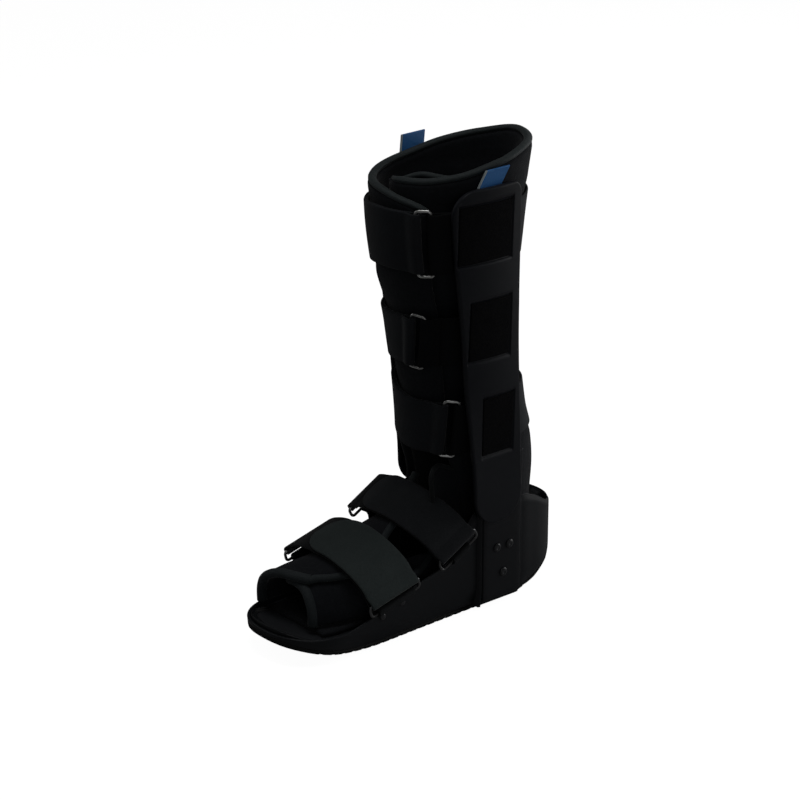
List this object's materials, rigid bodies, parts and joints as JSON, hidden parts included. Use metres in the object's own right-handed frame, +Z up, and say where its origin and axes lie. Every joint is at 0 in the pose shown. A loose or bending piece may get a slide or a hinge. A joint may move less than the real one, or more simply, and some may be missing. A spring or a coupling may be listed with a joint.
{
  "type": "medical walking boot",
  "caption": "Tall medical walking boot: rocker-soled plastic shell, two side uprights and a padded wrap liner held by straps through wire rings.",
  "frame": {"origin": "on the floor, under the middle of the boot's bounding box", "axes": "+Z up along the calf; toe towards -Y, heel towards +Y; the wearer's left towards +X"},
  "size_m": [0.1348, 0.319, 0.4238],
  "materials": {
    "shell_plastic": "dark charcoal moulded plastic, satin",
    "upright_plastic": "dark charcoal moulded plastic, fine matt texture",
    "outsole_rubber": "black ribbed rubber",
    "footbed_foam": "charcoal closed-cell foam",
    "liner_fabric": "black brushed loop fabric over foam",
    "binding": "charcoal stretch binding",
    "strap_fabric": "black loop strap, matt",
    "foot_strap_fabric": "charcoal loop strap, slight sheen",
    "hook_tape": "black hook tape",
    "steel_wire": "nickel-plated wire",
    "blue_tape": "bright blue woven tape"
  },
  "bodies": {
    "root": {"outsole": "outsole_rubber", "sole_shell": "shell_plastic", "footbed": "footbed_foam", "strut_left": "shell_plastic", "rivet_left_1": "shell_plastic", "rivet_left_2": "shell_plastic", "rivet_left_3": "shell_plastic", "upright_left": "upright_plastic", "hook_patch_left_1": "hook_tape", "hook_patch_left_2": "hook_tape", "hook_patch_left_3": "hook_tape", "pull_tab_left": "blue_tape", "strut_right": "shell_plastic", "rivet_right_1": "shell_plastic", "rivet_right_2": "shell_plastic", "rivet_right_3": "shell_plastic", "upright_right": "upright_plastic", "hook_patch_right_1": "hook_tape", "hook_patch_right_2": "hook_tape", "hook_patch_right_3": "hook_tape", "pull_tab_right": "blue_tape", "liner_sole": "liner_fabric", "liner_calf_wrap": "liner_fabric", "liner_rim_binding": "binding", "liner_tongue": "liner_fabric", "liner_flap_right": "liner_fabric", "liner_flap_left": "liner_fabric", "calf_strap_1": "strap_fabric", "calf_anchor_1": "strap_fabric", "calf_ring_1": "steel_wire", "calf_strap_2": "strap_fabric", "calf_anchor_2": "strap_fabric", "calf_ring_2": "steel_wire", "calf_strap_3": "strap_fabric", "calf_anchor_3": "strap_fabric", "calf_ring_3": "steel_wire", "forefoot_strap": "foot_strap_fabric", "forefoot_ring_left": "steel_wire", "forefoot_tab_left": "strap_fabric", "forefoot_tab_rivet_left_1": "shell_plastic", "forefoot_tab_rivet_left_2": "shell_plastic", "forefoot_ring_right": "steel_wire", "forefoot_tab_right": "strap_fabric", "forefoot_tab_rivet_right_1": "shell_plastic", "forefoot_tab_rivet_right_2": "shell_plastic", "instep_strap": "foot_strap_fabric", "instep_ring_left": "steel_wire", "instep_tab_left": "strap_fabric", "instep_tab_rivet_left_1": "shell_plastic", "instep_ring_right": "steel_wire", "instep_tab_right": "strap_fabric", "instep_tab_rivet_right_1": "shell_plastic"}
  },
  "joints": []
}
